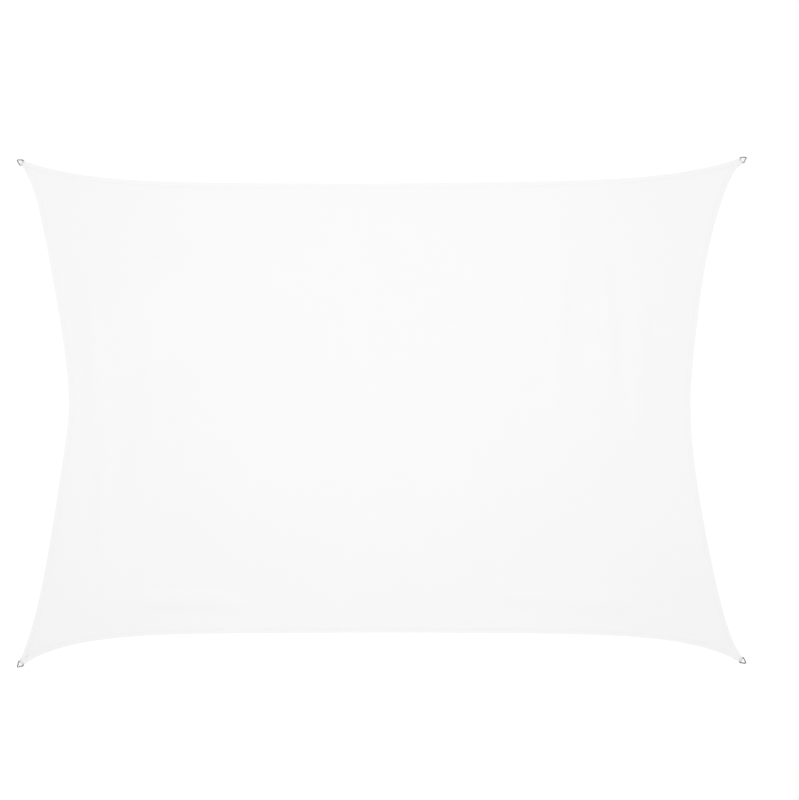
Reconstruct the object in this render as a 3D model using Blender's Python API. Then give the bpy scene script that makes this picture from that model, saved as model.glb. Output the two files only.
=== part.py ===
"""Shade sail: one rectangular cloth sail with inward-bowed edges, laid out flat.

Metres, +Z up. X runs along the 5 m sides and Y along the 3.5 m sides. The origin lies on the
surface that the sail rests on, below the middle of its box.

Pieces: the sail cloth with its folded hem and its four folded corner pockets, a webbing band
folded round the bar of each corner ring, and the four triangle rings of bent round wire.
"""

import math
from collections import namedtuple

import bmesh
import bpy
import numpy as np
from mathutils import Matrix, Vector
from mathutils.geometry import delaunay_2d_cdt

MM = 0.001

# ---- driving dimensions ---------------------------------------------------------------------
SPAN_X = 5.0                  # outside of ring to outside of ring along X
SPAN_Y = 3.5                  # and along Y
GAP = 0.3 * MM                # clearance between pieces that touch

CLOTH = 1.2 * MM              # one layer of cloth
HEM_WIDTH = 32 * MM           # edge folded over on the upper side
HEM_RAMP = 6 * MM             # run over which the fold's cut edge drops to the single cloth

WIRE = 6.0 * MM               # ring wire diameter
RING_WIDTH = 46 * MM          # outside width across the bar's shoulders
RING_HEIGHT = 43.5 * MM       # outside height, bar to apex
RING_HALF_APEX = math.radians(29.0)
APEX_RADIUS = 4.8 * MM        # bend of the wire's centre line at the apex

WEB_WIDTH = 31 * MM           # webbing band
WEB_THICK = 1.4 * MM
WEB_SLACK = 0.45 * MM         # between the band and the wire
TAIL = 32 * MM                # how far the band's tails run into the pocket

END_HALF = 19.3 * MM          # half the width of the cloth's blunt corner end
END_BACK = 3.3 * MM           # from the bar's centre line back to that end
MOUTH_BACK = 8 * MM           # the pocket's mouth lies this much further back
POCKET_CLEAR = 0.5 * MM       # the pocket is this much wider than the band on each side
NOTCH_CLEAR = 0.8 * MM        # and the notch in front of its mouth this much
CUT_PAST = 2 * MM             # how far a pocket's cut runs out past its mouth
POCKET_RUN_OUT = 34 * MM      # run over which the raised pocket falls back to the hem
CORNER_REACH = 150 * MM       # a corner's own folds end within this distance
FLANK_START = 2.0 * MM        # width of the pocket's flanks at the cloth's end
FLANK_SPREAD = 0.15           # and how fast they widen behind it

BAND_WRAP = math.radians(100)  # how far the band hugs the bar, above and below its front

TIP_POWER = 40.0              # how late along an edge the corner's drawn-out tip starts
CROWD = math.radians(77)      # how far the outline's points crowd towards the corners

# ---- fineness of the meshes -----------------------------------------------------------------
LONG_STATIONS = 44            # outline points along a long edge
SHORT_STATIONS = 36           # and along a short edge
GRID = 0.16                   # spacing of the points inside the cloth
WIRE_SIDES = 12               # round the ring's wire
BEND_STEPS = 6                # along each bend of the ring
WRAP_STEPS = 12               # of the band round the bar

# ---- what follows from them -----------------------------------------------------------------
BAR_HEIGHT = WEB_THICK + WEB_SLACK + WIRE / 2           # the band's loop rests on the surface
POCKET_HALF = WEB_WIDTH / 2 + POCKET_CLEAR
NOTCH_HALF = WEB_WIDTH / 2 + NOTCH_CLEAR
POCKET_FLOOR = CLOTH
POCKET_ROOF = CLOTH + 3 * GAP + 2 * WEB_THICK
POCKET_TOP = POCKET_ROOF + CLOTH
POCKET_END = MOUTH_BACK + TAIL + 2 * GAP
TAIL_LOW = POCKET_FLOOR + GAP + WEB_THICK / 2           # middle of the band's lower tail
TAIL_HIGH = TAIL_LOW + WEB_THICK + GAP                  # and of its upper tail

# ---- tables ---------------------------------------------------------------------------------
# Corner rings: which corner, how far the ring stays inside the nominal box on X and Y, and the
# direction in which its apex points, in degrees from +X.
Corner = namedtuple("Corner", "name side_x side_y inset_x inset_y turn")
CORNERS = (
    Corner("top_left", -1, 1, 0.000, 0.018, 149.0),
    Corner("top_right", 1, 1, 0.000, 0.000, 33.0),
    Corner("bottom_left", -1, -1, 0.000, 0.000, 225.0),
    Corner("bottom_right", 1, -1, 0.003, 0.026, -36.0),
)

# Edges, anticlockwise: the corner at each end, the axis that the edge runs along, where its
# innermost point lies along and across that axis, and the shape of its first and second half.
# A half edge is a bow with straight flanks (bow_round rounds its vertex), plus a flare that
# turns the edge out towards the corner, plus a share drawn out at the very tip.
Half = namedtuple("Half", "bow_round flare_share flare_power tip_share")
Edge = namedtuple("Edge", "start end along stations vertex_along vertex_across first second")
EDGES = (
    Edge("bottom_left", "bottom_right", 0, LONG_STATIONS, 0.20, -1.511,
         Half(0.30, 0.86, 7.1, 0.08), Half(0.63, 0.82, 6.6, 0.03)),
    Edge("bottom_right", "top_right", 1, SHORT_STATIONS, 0.06, 2.116,
         Half(0.38, 0.165, 9.3, 0.04), Half(0.08, 0.48, 3.8, 0.10)),
    Edge("top_right", "top_left", 0, LONG_STATIONS, -0.30, 1.568,
         Half(0.80, 0.77, 6.6, 0.00), Half(0.20, 0.91, 5.3, 0.00)),
    Edge("top_left", "bottom_left", 1, SHORT_STATIONS, 0.06, -2.146,
         Half(0.22, 0.22, 11.7, 0.00), Half(0.10, 0.23, 6.5, 0.00)),
)

# Soft folds in which the cloth lifts off the surface: where the crest starts and ends, how far
# its middle bends sideways, the fold's full width and its height.
Fold = namedtuple("Fold", "x0 y0 x1 y1 bend width height")
FOLDS = (
    Fold(-2.02, 0.90, -1.96, -0.35, 0.030, 0.20, 0.0070),
    Fold(-1.84, 0.10, -1.93, -1.15, -0.025, 0.18, 0.0080),
    Fold(-1.60, 0.70, -1.66, -0.60, 0.020, 0.30, 0.0040),
    Fold(0.93, 1.25, 0.99, 0.05, 0.030, 0.18, 0.0060),
    Fold(1.28, 1.20, 1.20, -0.10, -0.020, 0.17, 0.0070),
    Fold(1.50, 1.10, 1.57, 0.10, 0.020, 0.16, 0.0060),
    Fold(1.80, 0.90, 1.76, -0.30, -0.020, 0.20, 0.0065),
    Fold(-1.75, -1.30, -0.85, -1.34, 0.030, 0.22, 0.0080),
    Fold(0.60, -1.22, 1.90, -1.30, -0.030, 0.24, 0.0060),
    Fold(1.60, -0.35, 1.90, -1.00, 0.030, 0.26, 0.0050),
)
FOLD_TAPER = 0.22             # share of a fold's length over which each end runs out
FOLD_ROWS = (-0.5, -0.25, 0.0, 0.25, 0.5)      # rows of points across a fold, in widths
FOLD_STEP = 0.13              # spacing of the points along a fold


# ---- ring geometry --------------------------------------------------------------------------
Bend = namedtuple("Bend", "centre radius first_angle last_angle")


def ring_bends():
    """The ring's three bends of the wire's centre line, in its own plane.

    The plane has the bar's centre at its origin, x outwards to the apex and y along the bar.
    The bend at the base corners follows from the outside width and height.
    """
    flank = math.pi / 2 - RING_HALF_APEX
    height = RING_HEIGHT - WIRE + APEX_RADIUS * (1 / math.sin(RING_HALF_APEX) - 1)
    half_base = height * math.tan(RING_HALF_APEX)
    tangent = 1 / math.tan(flank / 2)
    radius = (half_base - (RING_WIDTH - WIRE) / 2) / (tangent - 1)
    side = half_base - radius * tangent
    apex = height - APEX_RADIUS / math.sin(RING_HALF_APEX)
    return (
        Bend(Vector((radius, side)), radius, math.pi, flank),
        Bend(Vector((apex, 0.0)), APEX_RADIUS, flank, -flank),
        Bend(Vector((radius, -side)), radius, -flank, -math.pi),
    )


def ring_reach(direction):
    """Furthest extent of the ring from its bar's centre in a direction of its own plane."""
    return max(bend.centre.dot(direction) + bend.radius + WIRE / 2 for bend in ring_bends())


class Place:
    """Where a corner's ring, band and cloth end sit: a plan frame on the bar's centre."""

    def __init__(self, corner):
        """Set the frame so that the ring just touches the nominal box."""
        self.name = corner.name
        self.turn = math.radians(corner.turn)
        self.out = Vector((math.cos(self.turn), math.sin(self.turn)))
        self.across = Vector((-self.out.y, self.out.x))
        side_x = Vector((corner.side_x, 0.0))
        side_y = Vector((0.0, corner.side_y))
        reach_x, reach_y = (
            ring_reach(Vector((side.dot(self.out), side.dot(self.across))))
            for side in (side_x, side_y)
        )
        self.bar = side_x * (SPAN_X / 2 - corner.inset_x - reach_x) \
            + side_y * (SPAN_Y / 2 - corner.inset_y - reach_y)

    def plan(self, behind, sideways):
        """Plan position of a point given behind the cloth's end and sideways of the middle."""
        return self.bar - self.out * (END_BACK + behind) + self.across * sideways

    def local(self, points):
        """Distances behind the cloth's end and sideways of an array of plan points."""
        offset = points - np.array(self.bar)
        return -(offset @ np.array(self.out)) - END_BACK, offset @ np.array(self.across)

    def matrix(self, height=0.0, tilt=0.0):
        """World matrix with x outwards and y along the bar, its far side tilted down."""
        spot = Matrix.Translation((self.bar.x, self.bar.y, height))
        return spot @ Matrix.Rotation(self.turn, 4, "Z") @ Matrix.Rotation(tilt, 4, "Y")


PLACES = {corner.name: Place(corner) for corner in CORNERS}


# ---- outline --------------------------------------------------------------------------------
def smooth(share):
    """Smooth step from 0 to 1 over an array of shares, held outside that range."""
    held = np.clip(share, 0.0, 1.0)
    return held * held * (3 - 2 * held)


def half_edge_rise(half, share):
    """How far a half edge has turned out, from 0 at its vertex to 1 at the corner."""
    bow = np.sqrt(share ** 2 + half.bow_round ** 2) - half.bow_round
    bow = bow / (math.sqrt(1 + half.bow_round ** 2) - half.bow_round)
    flare = half.flare_share * share ** half.flare_power
    tip = half.tip_share * share ** TIP_POWER
    return (1 - half.flare_share - half.tip_share) * bow + flare + tip


def edge_points(edge, stations):
    """Points of one edge, its two corner shoulders included, crowding towards the corners.

    Each half departs across the edge's axis by half_edge_rise times the departure at its end.
    """
    start = np.array(PLACES[edge.start].plan(0.0, END_HALF))
    end = np.array(PLACES[edge.end].plan(0.0, -END_HALF))
    share = np.sin(np.linspace(-CROWD, CROWD, stations)) / math.sin(CROWD)
    shoulder = np.where(share[:, None] < 0, start, end)
    half = np.abs(share)
    rise = np.where(share < 0, half_edge_rise(edge.first, half), half_edge_rise(edge.second, half))
    along, across = edge.along, 1 - edge.along
    points = np.zeros((stations, 2))
    points[:, along] = edge.vertex_along + (shoulder[:, along] - edge.vertex_along) * half
    points[:, across] = edge.vertex_across + (shoulder[:, across] - edge.vertex_across) * rise
    return points


def corner_mouth(place):
    """Notch of the pocket's mouth between the two lugs of a corner's blunt end."""
    notch = ((0.0, -NOTCH_HALF), (MOUTH_BACK, -NOTCH_HALF),
             (MOUTH_BACK, NOTCH_HALF), (0.0, NOTCH_HALF))
    return [tuple(place.plan(behind, sideways)) for behind, sideways in notch]


def outline():
    """The cloth's whole outline, anticlockwise, as a list of plan points."""
    points = []
    for edge in EDGES:
        points += [tuple(point) for point in edge_points(edge, edge.stations)]
        points += corner_mouth(PLACES[edge.end])
    return points


def edge_distance(points):
    """Distance of plan points from the nearest of the four long edges."""
    nearest = np.full(len(points), np.inf)
    for edge in EDGES:
        path = edge_points(edge, 4 * edge.stations)
        run = path[1:] - path[:-1]
        offset = points[:, None, :] - path[None, :-1, :]
        share = np.clip((offset * run).sum(2) / (run * run).sum(1), 0.0, 1.0)
        gap = offset - share[:, :, None] * run
        nearest = np.minimum(nearest, np.sqrt((gap * gap).sum(2)).min(1))
    return nearest


# ---- heights of the cloth -------------------------------------------------------------------
def fold_height(fold, points):
    """Height of one fold at plan points: a rounded crest that runs out at both ends.

    Across the crest the height is a squared cosine of the distance over the width.
    """
    start = np.array((fold.x0, fold.y0))
    run = np.array((fold.x1, fold.y1)) - start
    length = math.hypot(*run)
    run = run / length
    offset = points - start
    share = (offset @ run) / length
    sideways = offset @ np.array((-run[1], run[0])) - 4 * fold.bend * share * (1 - share)
    across = np.clip(np.abs(sideways) / fold.width, 0.0, 0.5)
    ends = smooth(share / FOLD_TAPER) * smooth((1 - share) / FOLD_TAPER)
    return fold.height * np.cos(math.pi * across) ** 2 * ends


def underside(points):
    """Height of the cloth's underside over the surface: flat but for the folds."""
    return sum(fold_height(fold, points) for fold in FOLDS)


def flank_run(behind):
    """Width of a pocket's flank, which spreads with the distance behind the cloth's end."""
    return FLANK_START + FLANK_SPREAD * np.clip(behind, 0.0, None)


def pocket_cover(points):
    """Share of the corner pockets' second layer and of their raised top, at plan points."""
    layer = np.zeros(len(points))
    top = np.zeros(len(points))
    for place in PLACES.values():
        behind, sideways = place.local(points)
        here = np.hypot(behind, sideways) < CORNER_REACH
        run_out = 1 - smooth((behind - POCKET_END - CLOTH) / POCKET_RUN_OUT)
        flank = 1 - smooth((np.abs(sideways) - POCKET_HALF - CLOTH) / flank_run(behind))
        layer += np.where(here, run_out, 0.0)
        top += np.where(here, smooth(behind / MOUTH_BACK) * run_out * flank, 0.0)
    return layer, top


def thickness(points):
    """Thickness of the cloth: one layer, two in the hem, more over the corner pockets."""
    hem = 1 - smooth((edge_distance(points) - HEM_WIDTH) / HEM_RAMP)
    layer, top = pocket_cover(points)
    return CLOTH * (1 + np.maximum(hem, layer)) + top * (POCKET_TOP - 2 * CLOTH)


# ---- points inside the cloth ----------------------------------------------------------------
def hem_lines():
    """Lines along the foot and the top of the hem's inner edge, broken where hems cross."""
    lines = []
    for inward in (HEM_WIDTH, HEM_WIDTH + HEM_RAMP):
        for edge in EDGES:
            path = edge_points(edge, edge.stations)
            run = np.gradient(path, axis=0)
            run = run / np.linalg.norm(run, axis=1)[:, None]
            inside = path + inward * np.stack((-run[:, 1], run[:, 0]), axis=1)
            free = (edge_distance(inside) > inward - MM) & (pocket_cover(inside)[0] == 0)
            lines.append(inside[free])
    return lines


def pocket_lines():
    """Lines along each corner pocket: the edge, the middle and the foot of both its flanks."""
    lines = []
    last = POCKET_END + CLOTH
    behinds = np.array((MOUTH_BACK, 0.5 * last, last, last + POCKET_RUN_OUT / 2))
    for place in PLACES.values():
        for side in (-1, 1):
            for share in (0.0, 0.5, 1.0):
                sideways = POCKET_HALF + CLOTH + share * flank_run(behinds)
                lines.append(np.array([place.plan(behind, side * half)
                                       for behind, half in zip(behinds, sideways)]))
        lines.append(np.array([place.plan(last + share * POCKET_RUN_OUT, 0.0)
                               for share in (0.0, 0.5, 1.0)]))
    return lines


def fold_lines():
    """Lines along each fold's crest, flanks and feet."""
    lines = []
    for fold in FOLDS:
        start = Vector((fold.x0, fold.y0))
        run = Vector((fold.x1, fold.y1)) - start
        side = Vector((-run.y, run.x)).normalized()
        shares = np.linspace(0.0, 1.0, round(run.length / FOLD_STEP) + 1)
        for row in FOLD_ROWS:
            lines.append(np.array([
                start + run * share + side * (4 * fold.bend * share * (1 - share) + row * fold.width)
                for share in shares
            ]))
    return lines


def field_points(lines):
    """Plain grid of points over the whole cloth, clear of the lines and of the hem."""
    columns = np.arange(-SPAN_X / 2, SPAN_X / 2, GRID)
    rows = np.arange(-SPAN_Y / 2, SPAN_Y / 2, GRID)
    field = np.stack(np.meshgrid(columns, rows), axis=2).reshape(-1, 2)
    taken = np.concatenate(lines)
    gap = np.linalg.norm(field[:, None, :] - taken[None, :, :], axis=2).min(1)
    return field[gap >= 0.4 * GRID]


def plan_triangles():
    """Plan points of the cloth and its triangles, whose sides keep to the creases."""
    border = outline()
    lines = hem_lines() + pocket_lines() + fold_lines()
    points = list(border)
    ring = list(range(len(border)))
    sides = list(zip(ring, ring[1:] + ring[:1]))
    for line in lines:
        first = len(points)
        points += [tuple(point) for point in line]
        sides += [(index, index + 1) for index in range(first, len(points) - 1)]
    points += [tuple(point) for point in field_points(lines)]
    plan, _, triangles, _, _, _ = delaunay_2d_cdt(
        [Vector(point) for point in points], sides, [ring], 1, 1e-6)
    return np.array([tuple(point) for point in plan]), triangles


# ---- solids ---------------------------------------------------------------------------------
def new_object(name, mesh_source, material):
    """Object from a bmesh, with its material, shaded smooth up to sharp edges."""
    mesh = bpy.data.meshes.new(name)
    mesh_source.to_mesh(mesh)
    mesh_source.free()
    mesh.materials.append(material)
    mesh.shade_smooth()
    mesh.set_sharp_from_angle(angle=math.radians(35))
    item = bpy.data.objects.new(name, mesh)
    bpy.context.collection.objects.link(item)
    return item


def sail_cloth(material):
    """The cloth: an upper and a lower skin on the same plan triangles, walled round its edge."""
    flat, triangles = plan_triangles()
    low = underside(flat)
    high = low + thickness(flat)

    source = bmesh.new()
    lower = [source.verts.new((*point, z)) for point, z in zip(flat, low)]
    upper = [source.verts.new((*point, z)) for point, z in zip(flat, high)]
    for triangle in triangles:
        source.faces.new([upper[index] for index in triangle])
        source.faces.new([lower[index] for index in reversed(triangle)])
    runs = {(a, b) for face in triangles for a, b in zip(face, (*face[1:], face[0]))}
    for a, b in runs:
        if (b, a) not in runs:
            source.faces.new((upper[b], upper[a], lower[a], lower[b]))
    return new_object("sail_cloth", source, material)


def pocket_cutter(place):
    """Guide box that opens a corner's pocket for the band's two tails."""
    box = bmesh.new()
    first = MOUTH_BACK - CUT_PAST
    size = Vector((POCKET_END - first, 2 * POCKET_HALF, POCKET_ROOF - POCKET_FLOOR))
    bmesh.ops.create_cube(box, size=1.0)
    bmesh.ops.scale(box, vec=size, verts=box.verts)
    middle = (-END_BACK - (first + POCKET_END) / 2, 0.0, (POCKET_ROOF + POCKET_FLOOR) / 2)
    bmesh.ops.transform(box, matrix=place.matrix() @ Matrix.Translation(middle), verts=box.verts)
    mesh = bpy.data.meshes.new("pocket_cutter_" + place.name)
    box.to_mesh(mesh)
    box.free()
    cutter = bpy.data.objects.new(mesh.name, mesh)
    cutter.hide_render = True
    cutter.display_type = "WIRE"
    bpy.context.collection.objects.link(cutter)
    return cutter


def open_pockets(cloth):
    """Cut the four pockets out of the cloth's corners."""
    for place in PLACES.values():
        cut = cloth.modifiers.new("pocket_" + place.name, "BOOLEAN")
        cut.operation = "DIFFERENCE"
        cut.object = pocket_cutter(place)


def band_path():
    """Middle line of the folded band in the plane across the bar: outwards x and height z.

    It comes out of the pocket low, goes round the bar on the outside and returns high.
    """
    deep = -END_BACK - MOUTH_BACK - TAIL
    mouth = -END_BACK - MOUTH_BACK
    radius = WIRE / 2 + WEB_SLACK + WEB_THICK / 2
    arc = [
        (radius * math.cos(angle), BAR_HEIGHT + radius * math.sin(angle))
        for angle in np.linspace(-BAND_WRAP, BAND_WRAP, WRAP_STEPS + 1)
    ]
    neck = (mouth + arc[0][0]) / 2
    low_neck = (TAIL_LOW + arc[0][1]) / 2
    high_neck = (TAIL_HIGH + arc[-1][1]) / 2
    return [(deep, TAIL_LOW), (mouth, TAIL_LOW), (neck, low_neck), *arc,
            (neck, high_neck), (mouth, TAIL_HIGH), (deep, TAIL_HIGH)]


def band_solid(place, material):
    """The webbing band of one corner: its folded strip section, as wide as the webbing."""
    path = [Vector(point) for point in band_path()]
    ahead = [b - a for a, b in zip(path, path[1:])]
    runs = [ahead[0]] + [a.normalized() + b.normalized() for a, b in zip(ahead, ahead[1:])]
    runs.append(ahead[-1])
    offsets = [Vector((-run.y, run.x)).normalized() * (WEB_THICK / 2) for run in runs]
    half = WEB_WIDTH / 2

    source = bmesh.new()
    frame = place.matrix()
    rows = []
    for point, offset in zip(path, offsets):
        corners = ((point + offset, -half), (point + offset, half),
                   (point - offset, half), (point - offset, -half))
        rows.append([source.verts.new(frame @ Vector((spot.x, side, spot.y)))
                     for spot, side in corners])
    for row, following in zip(rows, rows[1:]):
        for index in range(4):
            after = (index + 1) % 4
            source.faces.new((row[index], row[after], following[after], following[index]))
    source.faces.new(rows[0])
    source.faces.new(reversed(rows[-1]))
    bmesh.ops.recalc_face_normals(source, faces=source.faces)
    return new_object("webbing_" + place.name, source, material)


def ring_solid(place, material):
    """One corner ring: a round wire swept along its three bends and the straights between."""
    path = []
    for bend in ring_bends():
        for angle in np.linspace(bend.first_angle, bend.last_angle, BEND_STEPS + 1):
            out = Vector((math.cos(angle), math.sin(angle)))
            path.append((bend.centre + out * bend.radius, out))
    drop = BAR_HEIGHT - WIRE / 2
    apex = max(spot.x for spot, _ in path)
    frame = place.matrix(BAR_HEIGHT, math.asin(drop / apex))

    source = bmesh.new()
    rows = []
    for spot, out in path:
        row = []
        for step in range(WIRE_SIDES):
            angle = 2 * math.pi * step / WIRE_SIDES
            reach = spot + out * (math.cos(angle) * WIRE / 2)
            row.append(source.verts.new(
                frame @ Vector((reach.x, reach.y, math.sin(angle) * WIRE / 2))))
        rows.append(row)
    for row, following in zip(rows, rows[1:] + rows[:1]):
        for index in range(WIRE_SIDES):
            after = (index + 1) % WIRE_SIDES
            source.faces.new((row[index], row[after], following[after], following[index]))
    bmesh.ops.recalc_face_normals(source, faces=source.faces)
    return new_object("ring_" + place.name, source, material)


def finish(name, colour, roughness, metallic):
    """A material with one Principled surface."""
    material = bpy.data.materials.new(name)
    material.use_nodes = True
    surface = material.node_tree.nodes["Principled BSDF"]
    surface.inputs["Base Color"].default_value = (*colour, 1.0)
    surface.inputs["Roughness"].default_value = roughness
    surface.inputs["Metallic"].default_value = metallic
    return material


def main():
    """Empty the scene and build every piece."""
    for item in list(bpy.data.objects):
        bpy.data.objects.remove(item)
    cloth_finish = finish("white_cloth", (0.88, 0.88, 0.88), 0.85, 0.0)
    band_finish = finish("white_webbing", (0.74, 0.74, 0.73), 0.80, 0.0)
    steel_finish = finish("polished_steel", (0.60, 0.60, 0.61), 0.18, 1.0)
    open_pockets(sail_cloth(cloth_finish))
    for place in PLACES.values():
        band_solid(place, band_finish)
        ring_solid(place, steel_finish)


main()
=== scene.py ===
"""Looks of the shade sail: hemmed cloth, sewn corner pockets, webbing, steel rings and a pale studio.

Metres, +Z up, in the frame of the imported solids. The cloth lies flat on the surface z = 0 with the
soft folds of its solid. Every piece is a surface worked out with numpy as a grid of two parameters
or a profile carried along a path.
"""
import logging
import math
from dataclasses import dataclass, field
from enum import Enum

import bmesh
import bpy
import numpy as np
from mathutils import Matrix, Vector


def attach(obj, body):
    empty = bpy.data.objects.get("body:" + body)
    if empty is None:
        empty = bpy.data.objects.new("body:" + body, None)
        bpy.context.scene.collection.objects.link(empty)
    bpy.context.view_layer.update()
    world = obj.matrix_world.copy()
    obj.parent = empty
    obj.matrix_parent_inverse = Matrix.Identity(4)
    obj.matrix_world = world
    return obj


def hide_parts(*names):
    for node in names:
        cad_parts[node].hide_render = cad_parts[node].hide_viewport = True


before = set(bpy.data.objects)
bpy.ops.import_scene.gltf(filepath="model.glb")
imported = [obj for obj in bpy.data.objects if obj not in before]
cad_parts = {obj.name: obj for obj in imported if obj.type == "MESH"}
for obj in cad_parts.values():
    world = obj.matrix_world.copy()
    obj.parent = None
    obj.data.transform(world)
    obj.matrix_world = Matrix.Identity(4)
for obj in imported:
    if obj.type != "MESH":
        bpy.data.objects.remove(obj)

log = logging.getLogger("shade_sail")
MM = 0.001
Array = np.ndarray
Colour = tuple[float, float, float]


# ---- sizes shared by the pieces ----------------------------------------------------------------
@dataclass(frozen=True)
class Sizes:
    """Driving dimensions of the sail, in metres, as in its solids."""

    span_x: float = 5.0
    span_y: float = 3.5
    wire: float = 6.0 * MM
    ring_width: float = 46 * MM
    ring_height: float = 43.5 * MM
    ring_half_apex: float = math.radians(29.0)
    ring_apex_radius: float = 4.8 * MM
    web_width: float = 31 * MM
    web_thick: float = 1.4 * MM
    web_slack: float = 0.45 * MM
    tail: float = 32 * MM
    end_half: float = 19.3 * MM
    end_back: float = 3.3 * MM
    mouth_back: float = 8 * MM
    notch_half: float = 16.3 * MM
    hem_width: float = 32 * MM
    pocket_end: float = 40.6 * MM
    pocket_run_out: float = 34 * MM
    tail_low: float = 2.2 * MM
    tail_high: float = 3.9 * MM
    cloth_thick: float = 0.4 * MM
    cloth_lift: float = 0.35 * MM
    layer_step: float = 0.6 * MM
    pocket_rise: float = 4.3 * MM
    lip_back: float = 5.9 * MM
    lip_slant: float = 1.3 * MM
    lip_arch: float = 0.7 * MM

    @property
    def bar_height(self) -> float:
        """Height of the middle of a ring's bar, whose band rests on the surface."""
        return self.web_thick + self.web_slack + self.wire / 2


SIZES = Sizes()


# ---- arithmetic on whole arrays ----------------------------------------------------------------
def smooth(share: Array) -> Array:
    """Smooth step from 0 to 1: 3 t squared minus 2 t cubed, held outside that range."""
    held = np.clip(share, 0.0, 1.0)
    return held * held * (3 - 2 * held)


def unit(vectors: Array) -> Array:
    """Vectors (..., axes) scaled to unit length."""
    return vectors / np.linalg.norm(vectors, axis=-1)[..., None]


def running_length(path: Array) -> Array:
    """Length run along a path at each of its points (n, axes), 0 at the first."""
    step = np.linalg.norm(np.diff(path, axis=0), axis=1)
    return np.concatenate(([0.0], np.cumsum(step)))


def values_at(spots: Array, length: Array, values: Array) -> Array:
    """Values along a path at running lengths, straight between its own points.

    Args:
        spots: running lengths asked for (m,).
        length: running lengths of the path's points (n,).
        values: points or other values at them (n, axes).

    Returns:
        Values (m, axes).
    """
    return np.stack([np.interp(spots, length, column) for column in values.T], axis=1)


def paired(first: Array, second: Array) -> Array:
    """Two arrays broadcast together as pairs (..., 2)."""
    return np.stack(np.broadcast_arrays(first, second), axis=-1)


def on_circle(angle: Array | float) -> Array:
    """Points (..., 2) of the unit circle at angles in radians."""
    return np.stack((np.cos(angle), np.sin(angle)), axis=-1)


def left_of(vectors: Array) -> Array:
    """Plane vectors (..., 2) turned a quarter turn to the left."""
    return np.stack((-vectors[..., 1], vectors[..., 0]), axis=-1)


def lifted(plan: Array, height: Array) -> Array:
    """Plan points (..., 2) with their heights as points (..., 3)."""
    return np.concatenate((plan, height[..., None]), axis=-1)


# ---- plan geometry -----------------------------------------------------------------------------
@dataclass(frozen=True)
class Bend:
    """One bend of a ring's wire in the ring's own plane, x outwards and y along the bar."""

    centre: tuple[float, float]
    radius: float
    first: float
    last: float


@dataclass(frozen=True)
class RingShape:
    """Centre line of a triangle ring: a bar, two flanks and three bends."""

    sizes: Sizes

    def bends(self) -> list[Bend]:
        """The three bends, from the left base corner over the apex to the right one.

        The base bends follow from the outside width and height of the ring.
        """
        s = self.sizes
        flank = math.pi / 2 - s.ring_half_apex
        height = s.ring_height - s.wire + s.ring_apex_radius * (1 / math.sin(s.ring_half_apex) - 1)
        half_base = height * math.tan(s.ring_half_apex)
        tangent = 1 / math.tan(flank / 2)
        radius = (half_base - (s.ring_width - s.wire) / 2) / (tangent - 1)
        side = half_base - radius * tangent
        apex = height - s.ring_apex_radius / math.sin(s.ring_half_apex)
        return [
            Bend((radius, side), radius, math.pi, flank),
            Bend((apex, 0.0), s.ring_apex_radius, flank, -flank),
            Bend((radius, -side), radius, -flank, -math.pi),
        ]

    def reach(self, direction: Array) -> float:
        """Furthest extent from the bar's middle in a direction of the ring's plane.

        Args:
            direction: unit vector in the ring's plane.

        Returns:
            The distance, the wire's own radius included.
        """
        bends = [float(np.dot(bend.centre, direction)) + bend.radius for bend in self.bends()]
        return max(bends) + self.sizes.wire / 2

    def centre_line(self, bend_steps: int, straight_steps: int) -> Array:
        """Closed centre line: arcs at the bends and evenly divided straights between them.

        Args:
            bend_steps: steps round each bend.
            straight_steps: steps along each straight.

        Returns:
            Points (n, 2), the last one not repeating the first.
        """
        arcs = []
        for bend in self.bends():
            angle = np.linspace(bend.first, bend.last, bend_steps + 1)
            arcs.append(np.array(bend.centre) + bend.radius * on_circle(angle))
        parts = []
        for arc, following in zip(arcs, arcs[1:] + arcs[:1]):
            share = np.linspace(0, 1, straight_steps + 1)[1:-1, None]
            parts += [arc, arc[-1] + (following[0] - arc[-1]) * share]
        return np.concatenate(parts)


@dataclass(frozen=True)
class Corner:
    """A corner's plan frame, on the middle of its ring's bar, with the apex direction turn."""

    name: str
    side_x: int
    side_y: int
    inset_x: float
    inset_y: float
    turn_deg: float

    @property
    def out(self) -> Array:
        """Unit vector from the bar to the ring's apex."""
        return on_circle(math.radians(self.turn_deg))

    @property
    def across(self) -> Array:
        """Unit vector along the bar, a quarter turn to the left of out."""
        return left_of(self.out)

    @property
    def bar(self) -> Array:
        """Middle of the bar, set so that the ring just touches the nominal box."""
        ring = RingShape(SIZES)
        spans = (SIZES.span_x, SIZES.span_y)
        signs = (self.side_x, self.side_y)
        insets = (self.inset_x, self.inset_y)
        place = np.zeros(2)
        for axis in (0, 1):
            side = np.zeros(2)
            side[axis] = signs[axis]
            reach = ring.reach(np.array((side @ self.out, side @ self.across)))
            place += side * (spans[axis] / 2 - insets[axis] - reach)
        return place

    def plan(self, behind: Array | float, sideways: Array | float) -> Array:
        """Plan points from distances behind the cloth's end and sideways of the middle.

        Args:
            behind: distance back from the cloth's blunt end.
            sideways: distance along the bar's direction.

        Returns:
            Points (..., 2).
        """
        behind, sideways = np.broadcast_arrays(behind, sideways)
        return (self.bar - (SIZES.end_back + behind)[..., None] * self.out
                + sideways[..., None] * self.across)

    def local(self, points: Array) -> tuple[Array, Array]:
        """Distances behind the cloth's end and sideways, of plan points (..., 2)."""
        offset = points - self.bar
        return -(offset @ self.out) - SIZES.end_back, offset @ self.across


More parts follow.
